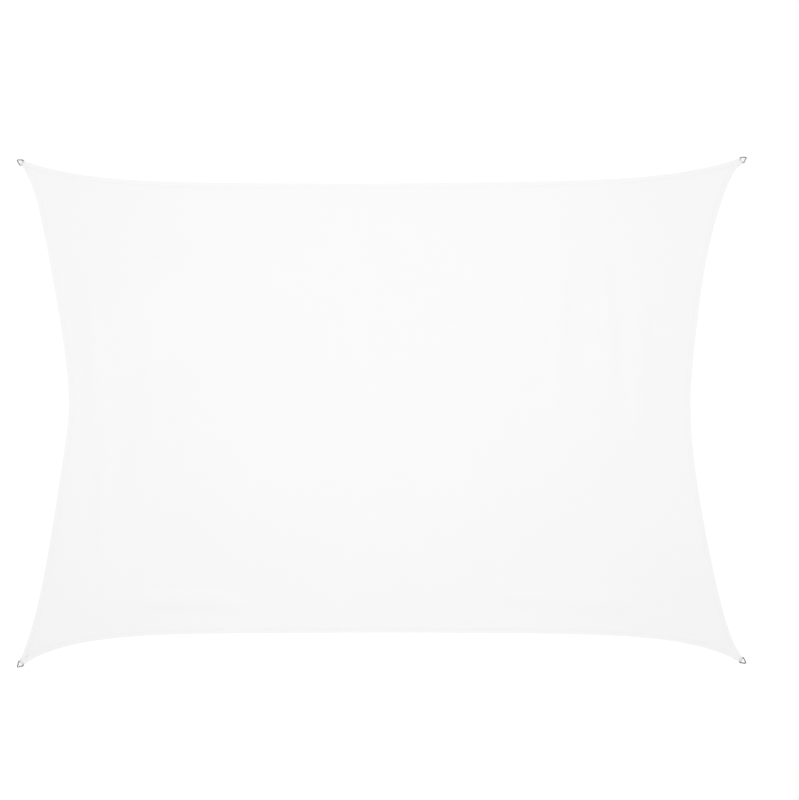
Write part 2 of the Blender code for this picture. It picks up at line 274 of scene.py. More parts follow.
@dataclass(frozen=True)
class Half:
    """Shape of half an edge: a bow with straight flanks, a flare and a drawn-out tip."""

    bow_round: float
    flare_share: float
    flare_power: float
    tip_share: float
    tip_power: float = 40.0

    def rise(self, share: Array) -> Array:
        """Departure across the edge: a hyperbola's bow plus two powers of the share.

        Args:
            share: 0 at the edge's innermost point, 1 at the corner.

        Returns:
            0 at the innermost point, 1 at the corner.
        """
        bow = np.sqrt(share ** 2 + self.bow_round ** 2) - self.bow_round
        bow = bow / (math.sqrt(1 + self.bow_round ** 2) - self.bow_round)
        flare = self.flare_share * share ** self.flare_power
        tip = self.tip_share * share ** self.tip_power
        return (1 - self.flare_share - self.tip_share) * bow + flare + tip


@dataclass
class Edge:
    """One bowed edge of the sail, run anticlockwise, with the cloth on its left."""

    name: str
    start: Corner
    end: Corner
    along: int
    vertex_along: float
    vertex_across: float
    first: Half
    second: Half
    samples: int = 5001
    crowd: float = math.radians(84)
    path: Array = field(init=False)
    length: Array = field(init=False)
    inward: Array = field(init=False)

    def __post_init__(self) -> None:
        """Work out the fine path, its running length and its inward normals."""
        share = np.sin(np.linspace(-self.crowd, self.crowd, self.samples)) / math.sin(self.crowd)
        self.path = self.departure(share)
        self.length = running_length(self.path)
        self.inward = left_of(unit(np.gradient(self.path, self.length, axis=0)))

    def departure(self, share: Array) -> Array:
        """Plan points for shares from -1, the start shoulder, to 1, the end shoulder.

        Each half departs across the edge's axis by its rise times the departure at its end.
        """
        shoulders = (self.start.plan(0.0, SIZES.end_half), self.end.plan(0.0, -SIZES.end_half))
        shoulder = np.where(share[:, None] < 0, *shoulders)
        half = np.abs(share)
        rise = np.where(share < 0, self.first.rise(half), self.second.rise(half))
        across = 1 - self.along
        points = np.zeros((len(share), 2))
        points[:, self.along] = self.vertex_along + (shoulder[:, self.along] - self.vertex_along) * half
        points[:, across] = self.vertex_across + (shoulder[:, across] - self.vertex_across) * rise
        return points

    def at(self, length: Array) -> tuple[Array, Array]:
        """Points and inward normals at running lengths (n,), each (n, 2)."""
        return values_at(length, self.length, self.path), values_at(length, self.length, self.inward)

    def length_behind(self, behind: Array, at_start: bool) -> Array:
        """Running lengths at which the edge is that far behind one of its corners' ends."""
        near = 0.35
        corner = self.start if at_start else self.end
        back, _ = corner.local(self.path)
        chosen = (self.length < near) if at_start else (self.length > self.length[-1] - near)
        order = np.argsort(back[chosen])
        return np.interp(behind, back[chosen][order], self.length[chosen][order])


CORNERS = (
    Corner("top_left", -1, 1, 0.000, 0.018, 149.0),
    Corner("top_right", 1, 1, 0.000, 0.000, 33.0),
    Corner("bottom_left", -1, -1, 0.000, 0.000, 225.0),
    Corner("bottom_right", 1, -1, 0.003, 0.026, -36.0),
)
TOP_LEFT, TOP_RIGHT, BOTTOM_LEFT, BOTTOM_RIGHT = CORNERS


@dataclass
class Plan:
    """The sail's four edges, with the points where the hems' inner edges meet."""

    edges: tuple[Edge, ...]
    spans: list[tuple[float, float]] = field(init=False)
    meetings: dict[str, Array] = field(init=False)

    def __post_init__(self) -> None:
        """Find, on each edge, the running lengths opposite which its hem meets its neighbours'."""
        found: dict[str, list[Array]] = {corner.name: [] for corner in CORNERS}
        self.spans = []
        for index, edge in enumerate(self.edges):
            before, after = self.edges[index - 1], self.edges[(index + 1) % 4]
            ends = []
            for neighbour, at_start in ((before, True), (after, False)):
                length = self.meeting_length(edge, neighbour, at_start)
                point, inward = edge.at(np.array([length]))
                corner = edge.start if at_start else edge.end
                found[corner.name].append(point[0] + inward[0] * SIZES.hem_width)
                ends.append(length)
            self.spans.append((ends[0], ends[1]))
        self.meetings = {name: np.mean(points, axis=0) for name, points in found.items()}

    @staticmethod
    def meeting_length(edge: Edge, neighbour: Edge, at_start: bool) -> float:
        """Running length whose point, a hem's width inwards, is as far from the neighbour.

        Args:
            edge: the edge measured on.
            neighbour: the edge that shares its corner.
            at_start: whether that corner is the edge's start.

        Returns:
            The running length along the edge.
        """
        near = 0.30
        mine = edge.length if at_start else edge.length[-1] - edge.length
        theirs = neighbour.length[-1] - neighbour.length if at_start else neighbour.length
        chosen = mine < near
        inner = edge.path[chosen] + edge.inward[chosen] * SIZES.hem_width
        other = neighbour.path[theirs < near][::2]
        apart = np.linalg.norm(inner[:, None, :] - other[None, :, :], axis=2).min(axis=1)
        order = np.argsort(mine[chosen])
        reach = np.maximum.accumulate(apart[order])
        meeting = float(np.interp(SIZES.hem_width, reach, mine[chosen][order]))
        return meeting if at_start else float(edge.length[-1]) - meeting


def sail_plan() -> Plan:
    """The plan of this sail: its four uneven edges, anticlockwise from the bottom one."""
    return Plan((
        Edge("bottom", BOTTOM_LEFT, BOTTOM_RIGHT, 0, 0.20, -1.511,
             Half(0.30, 0.86, 7.1, 0.08), Half(0.63, 0.82, 6.6, 0.03)),
        Edge("right", BOTTOM_RIGHT, TOP_RIGHT, 1, 0.06, 2.116,
             Half(0.38, 0.165, 9.3, 0.04), Half(0.08, 0.48, 3.8, 0.10)),
        Edge("top", TOP_RIGHT, TOP_LEFT, 0, -0.30, 1.568,
             Half(0.80, 0.77, 6.6, 0.00), Half(0.20, 0.91, 5.3, 0.00)),
        Edge("left", TOP_LEFT, BOTTOM_LEFT, 1, 0.06, -2.146,
             Half(0.22, 0.22, 11.7, 0.00), Half(0.10, 0.23, 6.5, 0.00)),
    ))


# ---- how the cloth lies ------------------------------------------------------------------------
@dataclass(frozen=True)
class Fold:
    """A soft fold: its crest's ends, sideways bend, full width and height."""

    start: tuple[float, float]
    end: tuple[float, float]
    bend: float
    width: float
    height: float
    taper: float = 0.22

    def lift(self, points: Array) -> Array:
        """Height over plan points (..., 2): a squared cosine across, run out at both ends."""
        start = np.array(self.start)
        run = np.array(self.end) - start
        length = float(np.hypot(*run))
        run = run / length
        offset = points - start
        share = (offset @ run) / length
        sideways = offset @ left_of(run) - 4 * self.bend * share * (1 - share)
        across = np.clip(np.abs(sideways) / self.width, 0.0, 0.5)
        ends = smooth(share / self.taper) * smooth((1 - share) / self.taper)
        return self.height * np.cos(math.pi * across) ** 2 * ends


@dataclass(frozen=True)
class Ripple:
    """A long low wave: heading in degrees from +X, wavelength, height and phase."""

    heading: float
    length: float
    height: float
    phase: float
    wander: float = 1.3
    wander_stretch: float = 2.7

    def lift(self, points: Array) -> Array:
        """Height over plan points: a raised sine whose fronts wander sideways."""
        heading = on_circle(math.radians(self.heading))
        turn = 2 * math.pi / self.length
        ahead = points @ heading * turn
        beside = points @ left_of(heading) * turn
        wander = self.wander * np.sin(beside / self.wander_stretch + 2 * self.phase)
        return self.height * (0.5 + 0.5 * np.sin(ahead + self.phase + wander))


@dataclass(frozen=True)
class Lie:
    """Heights of the cloth's layers over the surface that it lies on."""

    folds: tuple[Fold, ...]
    ripples: tuple[Ripple, ...]
    pocket_reach: float = 0.15
    flank: float = 2.2 * MM
    flank_spread: float = 0.15
    lip_climb: float = 0.36
    notch_margin: float = 0.05 * MM

    def lower(self, points: Array) -> Array:
        """Middle of the single cloth, or of a hem's lower layer, over plan points (..., 2)."""
        height = np.full(points.shape[:-1], SIZES.cloth_lift)
        for shape in (*self.folds, *self.ripples):
            height = height + shape.lift(points)
        return height

    def pocket(self, points: Array) -> Array:
        """How far the upper layer is lifted by the webbing's tails in the corner pockets.

        Behind the mouth it is level, runs out past the tails and falls off at both flanks;
        in front of it the lip climbs with the webbing.
        """
        lift = np.zeros(points.shape[:-1])
        for corner in CORNERS:
            behind, sideways = corner.local(points)
            here = np.hypot(behind, sideways) < self.pocket_reach
            run_out = 1 - smooth((behind - SIZES.pocket_end) / SIZES.pocket_run_out)
            flank = self.flank + self.flank_spread * np.clip(behind, 0.0, None)
            side = 1 - smooth((np.abs(sideways) - SIZES.notch_half) / flank)
            climb = self.lip_climb * np.clip(SIZES.mouth_back - behind, 0.0, None)
            beside = np.abs(sideways) > SIZES.notch_half + self.notch_margin
            start = np.where(beside, smooth(behind / SIZES.mouth_back), 1.0)
            lift = lift + np.where(here, (SIZES.pocket_rise * run_out + climb) * side * start, 0.0)
        return lift

    def upper(self, points: Array) -> Array:
        """Middle of a hem's folded-over layer over plan points (..., 2), its puckers left out."""
        return self.lower(points) + SIZES.layer_step + self.pocket(points)


SAIL_LIE = Lie(
    folds=(
        Fold((-2.02, 0.90), (-1.96, -0.35), 0.030, 0.20, 7.0 * MM),
        Fold((-1.84, 0.10), (-1.93, -1.15), -0.025, 0.18, 8.0 * MM),
        Fold((-1.60, 0.70), (-1.66, -0.60), 0.020, 0.30, 4.0 * MM),
        Fold((0.93, 1.25), (0.99, 0.05), 0.030, 0.18, 6.0 * MM),
        Fold((1.28, 1.20), (1.20, -0.10), -0.020, 0.17, 7.0 * MM),
        Fold((1.50, 1.10), (1.57, 0.10), 0.020, 0.16, 6.0 * MM),
        Fold((1.80, 0.90), (1.76, -0.30), -0.020, 0.20, 6.5 * MM),
        Fold((-1.75, -1.30), (-0.85, -1.34), 0.030, 0.22, 8.0 * MM),
        Fold((0.60, -1.22), (1.90, -1.30), -0.030, 0.24, 6.0 * MM),
        Fold((1.60, -0.35), (1.90, -1.00), 0.030, 0.26, 5.0 * MM),
    ),
    ripples=(
        Ripple(12.0, 0.62, 0.50 * MM, 0.4),
        Ripple(101.0, 0.47, 0.40 * MM, 1.9),
        Ripple(38.0, 0.31, 0.22 * MM, 3.3),
        Ripple(-31.0, 0.21, 0.16 * MM, 5.1),
    ),
)


# ---- meshes ------------------------------------------------------------------------------------
def grid_quads(rows: int, columns: int, loop_rows: bool = False, loop_columns: bool = False) -> Array:
    """Corner numbers of a grid's faces, its points numbered row by row.

    Args:
        rows: rows of points.
        columns: points in a row.
        loop_rows: whether the last row joins the first.
        loop_columns: whether the last column joins the first.

    Returns:
        Faces (n, 4).
    """
    row = np.arange(rows if loop_rows else rows - 1)[:, None]
    column = np.arange(columns if loop_columns else columns - 1)[None, :]
    after_row = (row + 1) % rows
    after_column = (column + 1) % columns
    corners = (row * columns + column, row * columns + after_column,
               after_row * columns + after_column, after_row * columns + column)
    return np.stack(np.broadcast_arrays(*corners), axis=-1).reshape(-1, 4)


def placed(name: str, data: bpy.types.ID) -> bpy.types.Object:
    """A new object on this data, linked to the scene."""
    item = bpy.data.objects.new(name, data)
    bpy.context.scene.collection.objects.link(item)
    return item


@dataclass
class Surface:
    """Points, faces and a flat map gathered from grids, then made into one mesh object."""

    points: list[Array] = field(default_factory=list)
    quads: list[Array] = field(default_factory=list)
    places: list[Array] = field(default_factory=list)
    count: int = 0

    def add(self, points: Array, quads: Array, places: Array | None = None) -> None:
        """Add points (..., 3) with faces between them and their places on the flat map (..., 2)."""
        flat = points.reshape(-1, 3)
        self.points.append(flat)
        self.quads.append(quads + self.count)
        self.places.append(flat[:, :2] if places is None else places.reshape(-1, 2))
        self.count += len(flat)

    def add_grid(self, points: Array, places: Array | None = None, flip: bool = False) -> None:
        """Add an open grid (rows, columns, 3), turned over if asked."""
        quads = grid_quads(*points.shape[:2])
        self.add(points, quads[:, ::-1] if flip else quads, places)

    def make(self, name: str, material: bpy.types.Material, weld: float = 0.0) -> bpy.types.Object:
        """Make the mesh object, at the origin and shaded smooth.

        Args:
            name: the piece's name.
            material: its finish.
            weld: distance within which points are joined, or 0 for none.

        Returns:
            The object, linked to the scene.
        """
        points, quads = np.concatenate(self.points), np.concatenate(self.quads)
        mesh = bpy.data.meshes.new(name)
        mesh.from_pydata(points.tolist(), [], quads.tolist())
        layer = mesh.uv_layers.new(name="Flat")
        places = np.concatenate(self.places)[quads.reshape(-1)]
        layer.uv.foreach_set("vector", places.astype(np.float32).ravel())
        if weld:
            source = bmesh.new()
            source.from_mesh(mesh)
            bmesh.ops.remove_doubles(source, verts=source.verts, dist=weld)
            source.to_mesh(mesh)
            source.free()
        mesh.materials.append(material)
        mesh.shade_smooth()
        return placed(name, mesh)


def thicken(item: bpy.types.Object, thickness: float) -> None:
    """Give a sheet its thickness, half to each side."""
    solid = item.modifiers.new("thickness", "SOLIDIFY")
    solid.thickness = thickness
    solid.offset = 0.0
    solid.use_even_offset = False


def crowded(count: int, first: float, last: float, crowd_deg: float) -> Array:
    """Numbers from first to last that crowd towards both ends as a sine does."""
    crowd = math.radians(crowd_deg)
    share = 0.5 + 0.5 * np.sin(np.linspace(-crowd, crowd, count)) / math.sin(crowd)
    return first + (last - first) * share


@dataclass(frozen=True)
class Strip:
    """The cloth along one edge, from the fold to the hem's inner edge, as a plan grid.

    Past the point where two hems meet, its inner side follows the corner's mitre line to the
    pocket's mouth, and beside the mouth a lug runs on to the cloth's end.
    """

    plan: Plan
    index: int
    columns: Array
    notch_column: int
    corner_steps: int
    lug_steps: int
    lip_margin: float = 0.2 * MM

    @property
    def edge(self) -> Edge:
        """The edge that the strip follows."""
        return self.plan.edges[self.index]

    def corner(self, at_start: bool) -> tuple[Corner, int]:
        """The corner at one end of the strip, and the side of its middle that the strip is on."""
        return (self.edge.start, 1) if at_start else (self.edge.end, -1)

    def corner_columns(self, share: Array, half: Array) -> Array:
        """Shares across the strip near a corner, so that one column keeps to the notch's side.

        Args:
            share: 0 at the meeting of the hems to 1 at the mouth, (n,).
            half: half width of the corner at each station, (n,).

        Returns:
            Shares (n, columns), 0 on the edge and 1 on the mitre line.
        """
        notch = (1 - SIZES.notch_half / half)[:, None]
        k = self.notch_column
        inner = (self.columns[k:] - self.columns[k]) / (1 - self.columns[k])
        outer = self.columns[:k] / self.columns[k]
        near = np.concatenate((notch * outer, notch + (1 - notch) * inner), axis=1)
        return self.columns + (near - self.columns) * smooth(share)[:, None]

    def corner_part(self, at_start: bool) -> Array:
        """Plan grid from the hems' meeting to the mouth, (steps + 1, columns, 2)."""
        corner, side = self.corner(at_start)
        first = self.plan.spans[self.index][0 if at_start else 1]
        meeting = self.plan.meetings[corner.name]
        share = np.linspace(0, 1, self.corner_steps + 1)
        inner = meeting + (corner.plan(SIZES.lip_back, 0.0) - meeting) * share[:, None]
        last = self.edge.length_behind(np.array(SIZES.mouth_back), at_start)
        outer, _ = self.edge.at(first + (last - first) * share)
        _, sideways = corner.local(outer)
        columns = self.corner_columns(share, sideways * side)
        grid = outer[:, None, :] + (inner - outer)[:, None, :] * columns[:, :, None]
        behind, sideways = corner.local(grid)
        within = np.abs(sideways) <= SIZES.notch_half + self.lip_margin
        drawn = (smooth(share) * share ** 3)[:, None] * within
        moved = behind + drawn * (lip_behind(sideways) - behind)
        return corner.plan(moved, sideways)

    def lug(self, at_start: bool) -> Array:
        """Plan grid of the lug beside the notch, from the mouth to the cloth's end.

        Its rows are level, but drawn on to the corner part's last row by a share that fades
        towards the end.
        """
        corner, side = self.corner(at_start)
        behind = np.linspace(SIZES.mouth_back, 0, self.lug_steps + 1)
        outer, _ = self.edge.at(self.edge.length_behind(behind, at_start))
        inner = corner.plan(behind, side * SIZES.notch_half)
        k = self.notch_column
        share = (self.columns[:k + 1] / self.columns[k])[None, :, None]
        level = outer[:, None, :] + (inner - outer)[:, None, :] * share
        fade = np.linspace(1, 0, self.lug_steps + 1)[:, None, None]
        return level + (self.corner_part(at_start)[-1, :k + 1] - level[0]) * fade

    def middle_part(self, lengths: Array) -> Array:
        """Plan grid between the two meetings, square to the edge, (n, columns, 2)."""
        outer, inward = self.edge.at(lengths)
        return outer[:, None, :] + inward[:, None, :] * (self.columns * SIZES.hem_width)[None, :, None]

    def parts(self, lengths: Array) -> list[Array]:
        """All plan grids of the strip, each running from the start corner to the end corner."""
        first, last = self.corner_part(True), self.corner_part(False)
        body = np.concatenate((first[:0:-1], self.middle_part(lengths), last[1:]))
        return [self.lug(True)[::-1], body, self.lug(False)]


def lip_behind(sideways: Array) -> Array:
    """How far behind the cloth's end a pocket's lip lies: slanted and slightly arched."""
    share = sideways / SIZES.notch_half
    return SIZES.lip_back + SIZES.lip_slant * share + SIZES.lip_arch * share ** 2


# ---- shader expressions ------------------------------------------------------------------------
class Signal:
    """A number that varies over a surface: a node's output, with arithmetic that adds nodes."""

    def __init__(self, tree: "Shader", socket: bpy.types.NodeSocket) -> None:
        """Wrap an output socket of the tree."""
        self.tree = tree
        self.socket = socket

    def _math(self, operation: str, *values: "Signal | float") -> "Signal":
        """A Math node on these values."""
        inputs = {index: value for index, value in enumerate(values)}
        node = self.tree.node("ShaderNodeMath", {"operation": operation}, inputs)
        return Signal(self.tree, node.outputs[0])

    def __add__(self, other: "Signal | float") -> "Signal":
        """Sum."""
        return self._math("ADD", self, other)

    __radd__ = __add__

    def __sub__(self, other: "Signal | float") -> "Signal":
        """Difference."""
        return self._math("SUBTRACT", self, other)

    def __rsub__(self, other: "Signal | float") -> "Signal":
        """Difference from a number."""
        return self._math("SUBTRACT", other, self)

    def __mul__(self, other: "Signal | float") -> "Signal":
        """Product."""
        return self._math("MULTIPLY", self, other)

    __rmul__ = __mul__

    def __pow__(self, other: "Signal | float") -> "Signal":
        """Power."""
        return self._math("POWER", self, other)

    def sine(self) -> "Signal":
        """Sine of an angle in radians."""
        return self._math("SINE", self)

    def ping_pong(self, top: float) -> "Signal":
        """Climb to the top and back down again, over and over."""
        return self._math("PINGPONG", self, top)

    def or_less(self, other: "Signal") -> "Signal":
        """The smaller of the two."""
        return self._math("MINIMUM", self, other)

    def step(self, low: float, high: float) -> "Signal":
        """Smooth step from 0 at low to 1 at high."""
        node = self.tree.node(
            "ShaderNodeMapRange", {"interpolation_type": "SMOOTHSTEP"},
            {"Value": self, "From Min": low, "From Max": high})
        return Signal(self.tree, node.outputs["Result"])


class Shader:
    """The surface node of a material or of the world, and the nodes that feed it."""

    def __init__(self, owner: bpy.types.Material | bpy.types.World, surface: str) -> None:
        """Take a new material or world and the name of its surface node."""
        owner.use_nodes = True
        self.owner = owner
        self.tree = owner.node_tree
        self.surface = self.tree.nodes[surface]

    @classmethod
    def of_material(cls, name: str) -> "Shader":
        """The shader of a new material."""
        return cls(bpy.data.materials.new(name), "Principled BSDF")

    def node(self, kind: str, settings: dict | None = None,
             inputs: dict | None = None) -> bpy.types.Node:
        """Add a node.

        Args:
            kind: the node's type.
            settings: its properties, set first.
            inputs: values, signals or sockets by input name or number.

        Returns:
            The node.
        """
        made = self.tree.nodes.new(kind)
        for key, value in (settings or {}).items():
            setattr(made, key, value)
        for key, value in (inputs or {}).items():
            self.feed(made.inputs[key], value)
        return made

    def feed(self, target: bpy.types.NodeSocket, value: object) -> None:
        """Link a signal or socket to an input, or set its number or colour."""
        if isinstance(value, Signal):
            self.tree.links.new(value.socket, target)
        elif isinstance(value, bpy.types.NodeSocket):
            self.tree.links.new(value, target)
        else:
            target.default_value = value

    def place(self) -> bpy.types.NodeSocket:
        """Object coordinates, which are the frame's metres."""
        return self.node("ShaderNodeTexCoord").outputs["Object"]

    def flat(self) -> bpy.types.NodeSocket:
        """The piece's own flat map, in metres."""
        return self.node("ShaderNodeUVMap", {"uv_map": "Flat"}).outputs["UV"]

    def parts(self, vector: bpy.types.NodeSocket) -> tuple[Signal, Signal, Signal]:
        """The three numbers of a vector."""
        split = self.node("ShaderNodeSeparateXYZ", None, {0: vector})
        return tuple(Signal(self, split.outputs[axis]) for axis in "XYZ")

    def noise(self, vector: bpy.types.NodeSocket, scale: float, detail: float = 2.0,
              roughness: float = 0.5) -> Signal:
        """Noise about 0.5, with its scale in repeats a metre."""
        made = self.node("ShaderNodeTexNoise", None,
                         {"Vector": vector, "Scale": scale, "Detail": detail, "Roughness": roughness})
        return Signal(self, made.outputs["Fac"])

    def stretched(self, vector: bpy.types.NodeSocket, scale: tuple[float, float, float],
                  turn: float = 0.0) -> bpy.types.NodeSocket:
        """A vector turned about Z and then scaled along each axis."""
        made = self.node("ShaderNodeMapping", None,
                         {"Vector": vector, "Rotation": (0.0, 0.0, turn), "Scale": scale})
        return made.outputs["Vector"]

    def distance(self, vector: bpy.types.NodeSocket, point: tuple[float, float, float]) -> Signal:
        """Distance of a vector from a point."""
        made = self.node("ShaderNodeVectorMath", {"operation": "DISTANCE"}, {0: vector, 1: point})
        return Signal(self, made.outputs["Value"])

    def blend(self, share: Signal, low: Colour, high: Colour) -> bpy.types.NodeSocket:
        """Colour between two, by a share."""
        made = self.node("ShaderNodeMix", {"data_type": "RGBA"},
                         {"Factor": share, 6: (*low, 1.0), 7: (*high, 1.0)})
        return made.outputs[2]

    def relief(self, height_mm: Signal) -> None:
        """Feed a relief, its height in millimetres, to the surface's normal."""
        bump = self.node("ShaderNodeBump", None, {"Height": height_mm, "Distance": MM, "Strength": 1.0})
        self.feed(self.surface.inputs["Normal"], bump.outputs["Normal"])

    def set(self, **values: object) -> None:
        """Set or link the surface's inputs, named with _ for spaces."""
        for key, value in values.items():
            self.feed(self.surface.inputs[key.replace("_", " ")], value)


# ---- finishes ----------------------------------------------------------------------------------
@dataclass(frozen=True)
class SailFinish:
    """White plain-woven polyester, matt and faintly crinkled, gathered where a hem is sewn."""

    light: Colour = (0.817, 0.817, 0.817)
    shaded: Colour = (0.776, 0.776, 0.776)
    grey_share: float = 0.12
    mottle_share: float = 0.25
    roughness: float = 0.80
    roughness_swing: float = 0.16
    thread: float = 0.9 * MM
    weave_mm: float = 0.035
    grain_mm: float = 0.12
    crinkle_mm: float = 0.12
    corner_crinkle_mm: float = 0.45
    gather_mm: float = 0.25
    corner_gather_mm: float = 2.6
    corner_span: tuple[float, float] = (0.06, 0.30)
    tip_span: tuple[float, float] = (0.05, 0.18)
    patch_span: tuple[float, float] = (0.44, 0.60)

    def material(self, name: str, gathered: bool) -> bpy.types.Material:
        """The material, on Object coordinates, its gathers on the hem's own flat map.

        Args:
            name: the material's name.
            gathered: whether it is for a hem, with fine gathers square to its edge.

        Returns:
            The material.
        """
        shader = Shader.of_material(name)
        place = shader.place()
        x, y, _ = shader.parts(place)
        turn = 2 * math.pi / (2 * self.thread)
        weave = (x * turn).sine() * (y * turn).sine()
        apart = self.corner_distance(shader, place)
        near = 1.0 - apart.step(*self.corner_span)
        mottle = shader.noise(place, scale=1.6, detail=3.0) - 0.5
        fine = shader.noise(place, scale=40.0, detail=3.0, roughness=0.6) - 0.5
        slanted = shader.stretched(place, (1.0, 2.6, 1.0), turn=0.35)
        crinkle = shader.noise(slanted, scale=46.0, detail=4.0, roughness=0.62) - 0.5
        grey = mottle * self.mottle_share + self.grey_share
        shader.set(Base_Color=shader.blend(grey, self.light, self.shaded),
                   Roughness=self.roughness + fine * self.roughness_swing,
                   Specular_IOR_Level=0.25, Sheen_Weight=0.04)
        crinkled = crinkle * (near * self.corner_crinkle_mm + self.crinkle_mm)
        relief = weave * self.weave_mm + fine * self.grain_mm + crinkled
        if gathered:
            flat = shader.flat()
            drawn_out = shader.stretched(flat, (1.0, 0.13, 1.0))
            gathers = shader.noise(drawn_out, scale=330.0, detail=1.0, roughness=0.4) - 0.5
            patches = shader.noise(shader.stretched(flat, (1.0, 1.6, 1.0)), scale=24.0, detail=1.0)
            tip = 1.0 - apart.step(*self.tip_span)
            depth = tip * self.corner_gather_mm + self.gather_mm
            relief = relief + gathers * patches.step(*self.patch_span) * depth
        shader.relief(relief)
        return shader.owner

    @staticmethod
    def corner_distance(shader: Shader, place: bpy.types.NodeSocket) -> Signal:
        """Distance from the nearest corner's ring."""
        spots = [shader.distance(place, (*corner.bar, 0.0)) for corner in CORNERS]
        nearest = spots[0]
        for spot in spots[1:]:
            nearest = nearest.or_less(spot)
        return nearest


@dataclass(frozen=True)
class WebbingFinish:
    """Off-white webbing in a herringbone twill, whose ribs turn back along the band; the grooves
    between the ribs are painted darker as painted shade.
    """

    ridge: Colour = (0.80, 0.80, 0.795)
    painted_groove_shade: Colour = (0.52, 0.52, 0.52)
    pitch: float = 2.0 * MM
    turn_back: float = 20.0 * MM
    slant: float = 1.2
    painted_shade_contrast: float = 0.6
    rib_mm: float = 0.20
    thread_mm: float = 0.06

    def material(self) -> bpy.types.Material:
        """The material, on the band's own flat map: x along it from the bar and y across."""
        shader = Shader.of_material("woven_webbing")
        along, across, _ = shader.parts(shader.flat())
        turn = 2 * math.pi / self.pitch
        zigzag = (along * (1 / self.turn_back)).ping_pong(0.5) * self.turn_back
        twill = ((zigzag * self.slant + across) * turn).sine()
        threads = (across * (2 * turn)).sine() * (along * (2 * turn)).sine()
        rib = twill * 0.5 + 0.5
        # Painted shade: the low parts of the twill's relief get the darker groove colour.
        shader.set(Base_Color=shader.blend(rib ** self.painted_shade_contrast, self.painted_groove_shade, self.ridge),
                   Roughness=0.75, Specular_IOR_Level=0.3)
        shader.relief(rib * self.rib_mm + threads * self.thread_mm)
        return shader.owner


@dataclass(frozen=True)
class SteelFinish:
    """Polished steel wire with faint drawing marks and handling scratches."""

    bright: Colour = (0.28, 0.28, 0.285)
    dull: Colour = (0.20, 0.20, 0.205)
    polish: float = 0.07
    streak_roughness: float = 0.10
    streak_mm: float = 0.012

    def material(self) -> bpy.types.Material:
        """The material, on the wire's own flat map: x along it and y round it."""
        shader = Shader.of_material("polished_steel")
        flat = shader.flat()
        drawn_out = shader.stretched(flat, (1.0, 14.0, 1.0))
        streak = shader.noise(drawn_out, scale=90.0, detail=3.0, roughness=0.6)
        cloud = shader.noise(flat, scale=60.0)
        shader.set(Base_Color=shader.blend(cloud, self.dull, self.bright),
                   Roughness=self.polish + streak * self.streak_roughness, Metallic=1.0)
        shader.relief(streak * self.streak_mm)
        return shader.owner


@dataclass(frozen=True)
class ThreadFinish:
    """Bonded white sewing thread with its twist, in turns a metre, the grooves of its twist painted
    darker as painted shade.
    """

    light: Colour = (0.85, 0.85, 0.85)
    shaded: Colour = (0.76, 0.76, 0.76)
    turns: float = 382.0
    twist_mm: float = 0.04

    def material(self) -> bpy.types.Material:
        """The material, on the stitch's flat map: x along it and y round it."""
        shader = Shader.of_material("white_thread")
        along, around, _ = shader.parts(shader.flat())
        twist = ((along * self.turns + around) * (2 * math.pi)).sine() * 0.5 + 0.5
        # Painted shade: the twist's grooves, low in the relief, get the darker shaded colour.
        shader.set(Base_Color=shader.blend(twist, self.shaded, self.light), Roughness=0.6)
        shader.relief(twist * self.twist_mm)
        return shader.owner


@dataclass(frozen=True)
class FloorFinish:
    """Plain pale studio floor, matt."""

    colour: Colour = (0.955, 0.955, 0.955)
    cloud_share: float = 0.985

    def material(self) -> bpy.types.Material:
        """The material, with the faintest cloudiness."""
        shader = Shader.of_material("pale_floor")
        cloud = shader.noise(shader.place(), scale=0.4)
        darker = tuple(self.cloud_share * value for value in self.colour)
        shader.set(Base_Color=shader.blend(cloud, darker, self.colour), Roughness=1.0,
                   Specular_IOR_Level=0.0)
        return shader.owner


# ---- the sail's pieces -------------------------------------------------------------------------
@dataclass
class ClothPanel:
    """The single cloth and the lower layer of its hems, as one welded sheet."""

    plan: Plan
    lie: Lie
    long_cells: int = 236
    short_cells: int = 164
    crowd_deg: float = 62.0
    columns: Array = field(default_factory=lambda: np.array((0.01, 0.33, 0.66, 1.0)))

    def lengths(self, index: int) -> Array:
        """Running lengths of the stations along an edge, between its hems' meetings."""
        cells = self.long_cells if self.plan.edges[index].along == 0 else self.short_cells
        return crowded(cells + 1, *self.plan.spans[index], self.crowd_deg)

    def inner_line(self, index: int) -> Array:
        """Plan points of the hem's inner edge along one side."""
        outer, inward = self.plan.edges[index].at(self.lengths(index))
        return outer + inward * SIZES.hem_width

    def middle(self) -> Array:
        """Plan grid within the hems: each point blends the four inner lines.

        It is the sum of the two pairs of opposite lines, each weighed by its nearness, less the
        four corners weighed by both.
        """
        bottom, right, top, left = (self.inner_line(index) for index in range(4))
        top, left = top[::-1], left[::-1]
        u = self.shares(bottom, top)[:, None, None]
        v = self.shares(left, right)[None, :, None]
        rows = (1 - v) * bottom[:, None, :] + v * top[:, None, :]
        columns = (1 - u) * left[None, :, :] + u * right[None, :, :]
        corners = ((1 - u) * (1 - v) * bottom[0] + u * (1 - v) * bottom[-1]
                   + (1 - u) * v * top[0] + u * v * top[-1])
        return rows + columns - corners

    @staticmethod
    def shares(*lines: Array) -> Array:
        """Mean share of the running length at each station of two lines."""
        found = []
        for line in lines:
            length = running_length(line)
            found.append(length / length[-1])
        return np.mean(found, axis=0)

    def build(self, material: bpy.types.Material) -> bpy.types.Object:
        """Make the panel."""
        surface = Surface()
        middle = self.middle()
        surface.add_grid(lifted(middle, self.lie.lower(middle)), flip=True)
        for index in range(4):
            strip = Strip(self.plan, index, self.columns, notch_column=1, corner_steps=7, lug_steps=2)
            for part in strip.parts(self.lengths(index)):
                surface.add_grid(lifted(part, self.lie.lower(part)), flip=True)
        panel = surface.make("sail_panel", material, weld=0.25 * MM)
        thicken(panel, SIZES.cloth_thick)
        return panel


